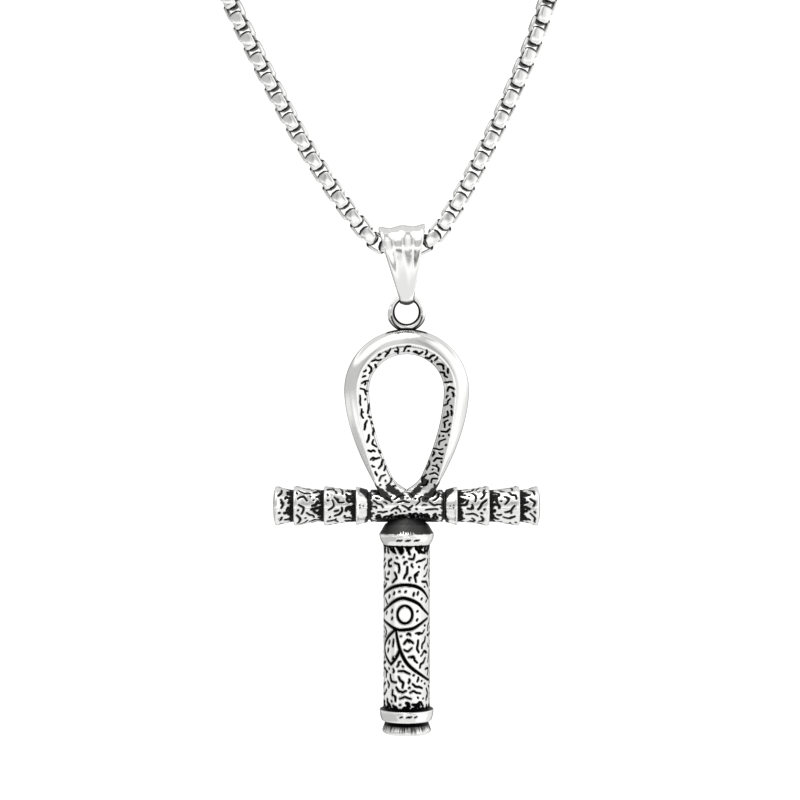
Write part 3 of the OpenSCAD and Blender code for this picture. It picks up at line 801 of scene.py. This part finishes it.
# Bail. A strip of stainless steel, fluted lengthwise, wide at the top where it is bent over the chain
# and narrow at the bottom where it holds the eyelet's wire, then closed, filed round at its edges and
# buffed to a mirror.
bail_w = 6.1
bail_foot_w = 1.9
bail_inner_h = 9.3
bail_top_r = 2.3
bail_foot_r = 0.65
bail_t = 0.6
flute_depth = 0.24
flute_growth = 1.6
foot_crown = 0.36
foot_waist_share = 0.9
bail_lean = radians(4)
bail_bow = 0.13
easing_rounds = 12
bail_top_steps = 64
bail_seat_steps = 24
bail_leaf_steps = 34
strip_columns = 41
strip_edge_r = 0.14
bail_inner_shade = 0.75

# Stamped 304 strip after the mirror wheel: brighter and smoother than the casting
# The near black is painted shade, on the strip's inner side and under its bottom bend
bail_steel = buffed_steel("buffed_strip_steel", "#F2F2F1", "#101010", 0.1, 3.5, 0.012)

eyelet_wire_z = eyelet_z + eyelet_d / 2 + wire_d / 2
seat_gap = 0.12
bail_foot_z = crossing[2] + eyelet_wire_z - wire_d / 2 - seat_gap
bail_arc_z = bail_foot_z + bail_inner_h - bail_top_r
bail_seat_z = bail_foot_z + bail_foot_r
bail_slope = asin((bail_top_r - bail_foot_r) / (bail_arc_z - bail_seat_z))


def outward(turn):
    """Directions away from the middle of a bend at those angles, seen from the side."""
    return np.stack([0 * turn, -np.cos(turn), np.sin(turn)], axis=-1)


def leaf_between(bend, turn, next_bend, next_turn):
    """Places down one leaf of the strip, a little bowed, from the end of one bend to the next."""
    share = np.linspace(0, 1, bail_leaf_steps + 2)[1:-1, None]
    aside = (outward(turn[-1]) + outward(next_turn[0])) / 2
    straight = bend[-1] * (1 - share) + next_bend[0] * share
    return straight + 4 * share * (1 - share) * bail_bow * aside


bow_angle = 4 * bail_bow / (bail_arc_z - bail_seat_z)
top_start = bow_angle - bail_slope
seat_start = pi + bow_angle + bail_slope
top_turn = np.linspace(top_start, pi - top_start, bail_top_steps)
seat_turn = np.linspace(seat_start, 3 * pi - seat_start, bail_seat_steps)
top_bend = (0, 0, bail_arc_z) + bail_top_r * outward(top_turn)
seat_bend = (0, 0, bail_seat_z) + bail_foot_r * outward(seat_turn)
places = np.vstack([
    top_bend, leaf_between(top_bend, top_turn, seat_bend, seat_turn),
    seat_bend, leaf_between(seat_bend, seat_turn, top_bend, top_turn)])
strip_shares = np.linspace(-1, 1, strip_columns)
for _ in range(easing_rounds):
    places = 0.5 * places + 0.25 * (np.roll(places, 1, axis=0) + np.roll(places, -1, axis=0))
ways = np.roll(places, -1, axis=0) - np.roll(places, 1, axis=0)
outward_ways = np.column_stack([0 * ways[:, 0], -ways[:, 2], ways[:, 1]])
outward_ways /= np.linalg.norm(outward_ways, axis=1)[:, None]
bail_points = []
bail_painted_shade = []
for place, outwards in zip(places, outward_ways):
    up = min(1, max(0, (place[2] - bail_foot_z) / bail_inner_h))
    half = max(bail_foot_w, foot_waist_share * bail_foot_w * (1 - up) + bail_w * up) / 2
    crown = foot_crown * (1 - up) ** 3
    flute = flute_depth * min(1, flute_growth * up)
    over_edge = np.clip((np.abs(strip_shares) * half - half + strip_edge_r) / strip_edge_r, 0, 1)
    inset = (1 - np.sqrt(1 - over_edge ** 2)) * strip_edge_r
    face = bail_t - crown * strip_shares ** 2 - flute * (1 - np.cos(2 * pi * strip_shares)) / 2 - inset
    back = crown * strip_shares ** 2 + 0.6 * inset
    middle = np.column_stack([half * strip_shares, 0 * face, 0 * face]) + place
    outer_side = middle + outwards * face[:, None]
    inner_side = middle + outwards * back[:, None]
    bail_points.append(np.vstack([outer_side, inner_side[::-1]]))
    # Painted shade: black under the bottom bend where it faces down, dark grey all over the inner side
    underside = 0.9 * smooth_step(0.5, 0.8, -outwards[2]) * (up < 0.1)
    bail_painted_shade.append(np.concatenate([underside + 0 * face, bail_inner_shade + 0 * face]))
seat = np.array([0, 0, bail_seat_z])
lean_cos, lean_sin = cos(bail_lean), sin(bail_lean)
lean_ways = np.array([(lean_cos, 0, lean_sin), (0, 1, 0), (-lean_sin, 0, lean_cos)])
bail_points = (np.array(bail_points) - seat) @ lean_ways + seat
bail = steel_piece(
    "bail_strip", bail_points, bail_painted_shade, bail_steel, (0, crossing[1], 0), rows_close=True)
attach(bail, "bail")
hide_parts("bail")

# Chain. A Venetian box chain: each link is a square ring bent from steel strip, set a quarter turn
# from its neighbours and looped through them, then the whole chain is tumbled bright. It follows
# the route of the frame's plain rope, through the bail and round the neck.
link_pitch = 1.5
link_h = 2.4
strip_w = 1.55
strip_t = 0.4
link_l = link_pitch + 1.2
link_squareness = 0.45
link_end_bulge = 0.2
link_inner_shade = 0.42
link_bend_shade = 0.97
path_steps = 22
clasp_in_x = 4.5
clasp_out_x = 7.5
chain_route = [
    (clasp_in_x, 62, 0), (clasp_out_x, 62, 0), (24, 58.5, -1), (42, 46, -5), (55, 28, -11), (61, 6, -20),
    (61, -16, -33), (56, -36, -49), (49, -52, -69), (41, -64, -90), (32, -72, -113), (24, -76.5, -136),
    (15, -79, -163), (10, -79.6, -173.8), (5.4, -79.9, -182.2), (3.9, -80, -184.34),
    (2.5, -80, -185.51), (1, -80, -186.15), (-0.6, -80, -186.37), (-2.2, -80, -186.15),
    (-3.7, -80, -185.51), (-4.7, -80, -184.74), (-6.1, -80, -183.1),
    (-11.9, -79.6, -174.9), (-17.6, -79, -164.7), (-26, -78.2, -147), (-33, -75.5, -128),
    (-40.5, -70, -107), (-47, -62, -86), (-53, -51, -65), (-58, -36, -46), (-62, -16, -31),
    (-62, 6, -19), (-55, 28, -11), (-42, 46, -5), (-24, 58.5, -1),
    (-clasp_out_x, 62, 0), (-clasp_in_x, 62, 0)]

# Tumbled steel strip: bright faces, and near black for the painted shade inside and between links
link_steel = buffed_steel("tumbled_link_steel", "#F2F2F1", "#0A0A0A", 0.12, 0.9, 0.016)


def route_line(points, spacing):
    """The chain's smooth middle line, as places one pitch apart and the direction at each of them."""
    points = np.array(points, float)
    lengths = np.linalg.norm(np.diff(points, axis=0), axis=1)
    slopes = np.diff(points, axis=0) / lengths[:, None]
    a, b = lengths[:-1, None], lengths[1:, None]
    tangents = np.vstack([slopes[0], (slopes[1:] * a + slopes[:-1] * b) / (a + b), slopes[-1]])
    line = []
    for k, length in enumerate(lengths):
        line += [curve_place(t, points[k], length * tangents[k], points[k + 1], length * tangents[k + 1])
                 for t in np.linspace(0, 1, 60, endpoint=False)]
    line = np.vstack([line, points[-1]])
    run = np.concatenate([[0], np.cumsum(np.linalg.norm(np.diff(line, axis=0), axis=1))])
    at = np.linspace(0, run[-1], round(run[-1] / spacing) + 1)
    places = np.column_stack([np.interp(at, run, line[:, k]) for k in range(3)])
    ways = np.gradient(places, axis=0)
    return places, ways / np.linalg.norm(ways, axis=1)[:, None]


# The way round a link, as shares of half its length and half its height: a square with round corners
link_turn = 2 * pi * (np.arange(path_steps) + 0.5) / path_steps
round_path = np.column_stack([np.cos(link_turn), np.sin(link_turn)])
path = np.sign(round_path) * np.abs(round_path) ** link_squareness
outer_half = np.array([link_l / 2, link_h / 2])

# The strip's section, as shares of its thickness inwards and of its width sideways: its outer face
# is domed, and painted shade turns each link's bends into black arcs and greys its inner faces
section = [(0.3, -0.5), (0.1, -0.41), (0.0, -0.2), (0.0, 0.2), (0.1, 0.41), (0.3, 0.5),
           (0.88, 0.5), (1.0, 0.4), (1.0, -0.4), (0.88, -0.5)]
link_points = []
link_shade = []
for across, deep_share in path:
    bend = smooth_step(0.62, 0.8, abs(across))
    # Painted shade: black at each link's upper bend, a little at its lower bend, dark grey on its inner
    # faces
    end_shade = max(smooth_step(0.53, 0.7, across), 0.8 * smooth_step(0.92, 0.99, -across))
    for inwards, sideways in section:
        half = outer_half - strip_t * inwards
        end = 1 - link_end_bulge * (2 * sideways) ** 2 * bend
        link_points.append((across * half[0] * end, deep_share * half[1], sideways * strip_w))
        link_shade.append(link_inner_shade if inwards > 0.5 else link_bend_shade * end_shade)
link_points = np.array(link_points)
link_faces = np.array(grid_faces(path_steps, len(section), rows_close=True))
places, ways = route_line(chain_route, link_pitch)
chain_points = []
chain_faces = []
for k, (place, way) in enumerate(zip(places, ways)):
    away = place * (1, 1, 0)
    away -= way * (away @ way)
    away /= np.linalg.norm(away)
    sideways = np.cross(away, way)
    first, second = (away, sideways) if k % 2 else (sideways, away)
    upwards_way = way if way[2] > 0 else -way
    chain_points.append(place + link_points @ np.array([upwards_way, first, second]))
    chain_faces.append(link_faces + k * len(link_points))
chain = steel_piece(
    "box_chain", np.vstack(chain_points), link_shade * len(places), link_steel, (0, 0, 0),
    faces=np.vstack(chain_faces).tolist())
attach(chain, "necklace")
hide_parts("chain")

# Clasp. A plain barrel clasp at the nape, turned from steel bar in two halves that screw together.
# Each half has a fine knurl for the fingers, and the chain's end links are fixed in its sockets.
clasp_l = 12.0
clasp_d = 4.39
clasp_socket = 1.5
clasp_seam = 0.3
knurl_start = 1.35
knurl_end = 3.9
knurl_pitch = 0.5
knurl_depth = 0.07
clasp_columns = 84
clasp_low, clasp_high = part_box("clasp")
clasp_middle = np.array([(clasp_low[k] + clasp_high[k]) / 2 / MM for k in range(3)])

# Turned and knurled 304 bar, buffed: the same bright grey as the links, with faint turning haze
# Its near black is painted shade in the knurl's valleys and the sockets, and the dark seam between the
# halves
clasp_steel = buffed_steel("turned_clasp_steel", "#EEEEED", "#0A0A0A", 0.16, 1.5, 0.006)

socket_r = link_h / 2 / cos(pi / 8) + 0.15
half_l = clasp_l / 2
skin_r = clasp_d / 2
line_r = skin_r - 0.08
half_profile = [
    (0, skin_r - 0.3), (0.12, skin_r - 0.25), (clasp_seam, skin_r), (knurl_start - 0.35, skin_r),
    (knurl_start - 0.25, line_r), (knurl_start - 0.1, line_r), (knurl_start, skin_r),
    (knurl_end, skin_r), (knurl_end + 0.1, line_r), (knurl_end + 0.25, line_r),
    (knurl_end + 0.35, skin_r), (half_l - 1.0, skin_r), (half_l - 0.45, skin_r - 0.12),
    (half_l - 0.12, skin_r - 0.38), (half_l, skin_r - 0.62), (half_l, socket_r),
    (half_l - 0.1, socket_r), (half_l - clasp_socket, socket_r), (half_l - clasp_socket, 0.02)]
other_half = [(-along, r) for along, r in half_profile[:0:-1]]
clasp_profile = rounded_profile(other_half + half_profile, 0.09)
along, turned_r = clasp_profile.T[:, :, None]
clasp_turn = angles_round(clasp_columns)[None, :]
arc_l = clasp_turn * skin_r
outer_skin = smooth_step(skin_r - 0.05, skin_r - 0.01, turned_r)
right_hand = np.cos(2 * pi * (along + arc_l) / knurl_pitch)
left_hand = np.cos(2 * pi * (along - arc_l) / knurl_pitch)
knurl = 0.5 + 0.25 * (right_hand + left_hand)
band = smooth_step(knurl_start + 0.05, knurl_start + 0.2, np.abs(along)) * outer_skin
band *= smooth_step(knurl_end - 0.05, knurl_end - 0.2, np.abs(along))
clasp_r = turned_r - knurl_depth * (1 - knurl) * band
clasp_points = np.stack([
    along + 0 * clasp_r, clasp_r * np.sin(clasp_turn), clasp_r * np.cos(clasp_turn)], axis=-1)
# Painted shade in the knurl's valleys and inside the sockets; the seam between the halves is a dark joint
in_socket = turned_r < socket_r + 0.05
in_seam = (np.abs(along) < 0.1) & (turned_r > socket_r + 0.1)
clasp_shade_and_seam = 0.8 * smooth_step(0.35, 0.1, knurl) * band + 0.9 * in_socket + 0.8 * in_seam
clasp = steel_piece("barrel_clasp", clasp_points, clasp_shade_and_seam, clasp_steel, clasp_middle)
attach(clasp, "necklace")
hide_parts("clasp")

# Studio. A pale floor below the pendant and a light tent round it: white cloth all over, with softer
# grey panels that give the polished steel its grey bands. The camera looks level at the pendant.
camera_distance = 240.0
view_width = 104.0
view_aim = (-0.86, 13.75)
floor_drop = 450.0
floor_radius = 550.0
floor_corners = 96

camera_data = bpy.data.cameras.new("camera")
camera_data.lens = camera_data.sensor_width * camera_distance / view_width
camera_data.clip_start = 0.01
camera = bpy.data.objects.new("camera", camera_data)
camera.location = Vector((view_aim[0], crossing[1] - camera_distance, crossing[2] + view_aim[1])) * MM
camera.rotation_euler = (pi / 2, 0, 0)
bpy.context.scene.collection.objects.link(camera)
bpy.context.scene.camera = camera
bpy.context.scene.view_settings.view_transform = "Standard"

floor_paint = bpy.data.materials.new("matt_white_floor")
floor_paint.use_nodes = True
floor_paint.node_tree.nodes.clear()
paint = add_node(floor_paint.node_tree, "BsdfPrincipled", {
    "Base Color": linear("#F7F7F7"), "Roughness": 0.9})
add_node(floor_paint.node_tree, "OutputMaterial", {"Surface": paint.outputs["BSDF"]})
turn = angles_round(floor_corners)
floor_edge = np.stack([floor_radius * np.cos(turn), floor_radius * np.sin(turn), 0 * turn], axis=-1)
floor_mesh = bpy.data.meshes.new("floor")
floor_mesh.from_pydata((floor_edge * MM).tolist(), [], [list(range(floor_corners))])
floor_mesh.materials.append(floor_paint)
floor = bpy.data.objects.new("floor", floor_mesh)
floor.location.z = ankh_low.z - floor_drop * MM
bpy.context.scene.collection.objects.link(floor)

# Each panel of the tent as its bearings from the front, its heights, how softly it ends, all in
# degrees, and the share of the white that it leaves
tent_panels = [
    (-168, -15, -3, 27, 2.5, 0.52),
    (-168, -45, -50, -11.5, 2, 0.5),
    (-45, -22, -19, -11.5, 2, 0.5),
    (-168, -104, -11.5, -3, 2, 0.78),
    (-84, -62, -11.5, -3, 2, 0.68),
    (-104, -84, -11.5, -3, 2, 0.8),
    (8, 33, -3, 40, 4, 0.72),
    (105, 168, -50, 4, 8, 0.75),
    (75, 108, -14, -3, 5, 0.82),
    (-24, -2, 6, 42, 4, 0.66),
    (-2, 20, 6, 78, 3, 0.51),
    (20, 32, 44, 78, 3, 0.51),
    (32, 80, 58, 80, 3, 0.51),
    (-45, 45, -50, -23, 4, 0.74),
    (-40, -14, -17, -12, 2, 0.25),
    (12, 42, -17, -12, 2, 0.3),
    (-5, 3, -19, -13, 2, 0.6),
    (-95, 95, 82, 91, 4, 0.68),
    (-181, -90, 36, 91, 6, 0.66),
    (90, 181, 36, 91, 6, 0.66)]
backdrop_ring = (21, 42, 4, 0.5)
tent_white = 1.2
world = bpy.data.worlds.new("light_tent")
world.use_nodes = True
bpy.context.scene.world = world
tree = world.node_tree
tree.nodes.clear()
looking = add_node(tree, "TexCoord").outputs["Generated"]
split = add_node(tree, "SeparateXYZ", {"Vector": looking}).outputs
backwards = add_node(tree, "Math", {0: split["Y"], 1: -1.0}, operation="MULTIPLY")
bearing = add_node(
    tree, "Math", {0: split["X"], 1: backwards.outputs[0]}, operation="ARCTAN2").outputs[0]
height = add_node(tree, "Math", {0: split["Z"]}, operation="ARCSINE").outputs[0]
from_backdrop = add_node(tree, "Math", {0: split["Y"]}, operation="ARCCOSINE").outputs[0]


def with_panel(brightness, sides, soft, share):
    """The tent's brightness with one more panel in it, which leaves that share of the white. Each of
    its sides is an angle and the two values that it lies between, in degrees, with soft ends."""
    mask = 1.0
    for angle, low, high in sides:
        for start, end in ((low - soft, low + soft), (high + soft, high - soft)):
            ramp = add_node(tree, "MapRange", {
                "Value": angle, "From Min": radians(start), "From Max": radians(end)},
                interpolation_type="SMOOTHSTEP")
            mask = add_node(tree, "Math", {
                0: mask, 1: ramp.outputs["Result"]}, operation="MULTIPLY").outputs[0]
    left = add_node(tree, "Math", {0: mask, 1: share - 1.0, 2: 1.0}, operation="MULTIPLY_ADD")
    return add_node(tree, "Math", {
        0: brightness, 1: left.outputs[0]}, operation="MULTIPLY").outputs[0]


ring_low, ring_high, ring_soft, ring_share = backdrop_ring
brightness = with_panel(1.0, [(from_backdrop, ring_low, ring_high)], ring_soft, ring_share)
for from_bearing, to_bearing, from_height, to_height, soft, share in tent_panels:
    sides = [(bearing, from_bearing, to_bearing), (height, from_height, to_height)]
    brightness = with_panel(brightness, sides, soft, share)

# Seen straight on, the tent's cloth is plain white: its grey panels only show in the steel
seen = add_node(tree, "LightPath").outputs["Is Camera Ray"]
shown = add_node(tree, "Mix", {"Factor": seen, "A": brightness, "B": 1.0}, data_type="FLOAT")
lit = add_node(tree, "Math", {
    0: shown.outputs["Result"], 1: tent_white}, operation="MULTIPLY")
cloth = add_node(tree, "Background", {"Color": (1, 1, 1, 1), "Strength": lit.outputs[0]})
add_node(tree, "OutputWorld", {"Surface": cloth.outputs["Background"]})

# One soft lamp over the tent, for the floor and the upper sides
key_size = 500.0
key_place = (-120.0, -380.0, 650.0)
key = bpy.data.lights.new("soft_key", "AREA")
key.shape = "SQUARE"
key.size = key_size * MM
key.energy = 3.0
key_lamp = bpy.data.objects.new("soft_key", key)
key_lamp.location = Vector(key_place) * MM
aim = Vector(crossing) * MM - key_lamp.location
key_lamp.rotation_euler = aim.to_track_quat("-Z", "Y").to_euler()
bpy.context.scene.collection.objects.link(key_lamp)
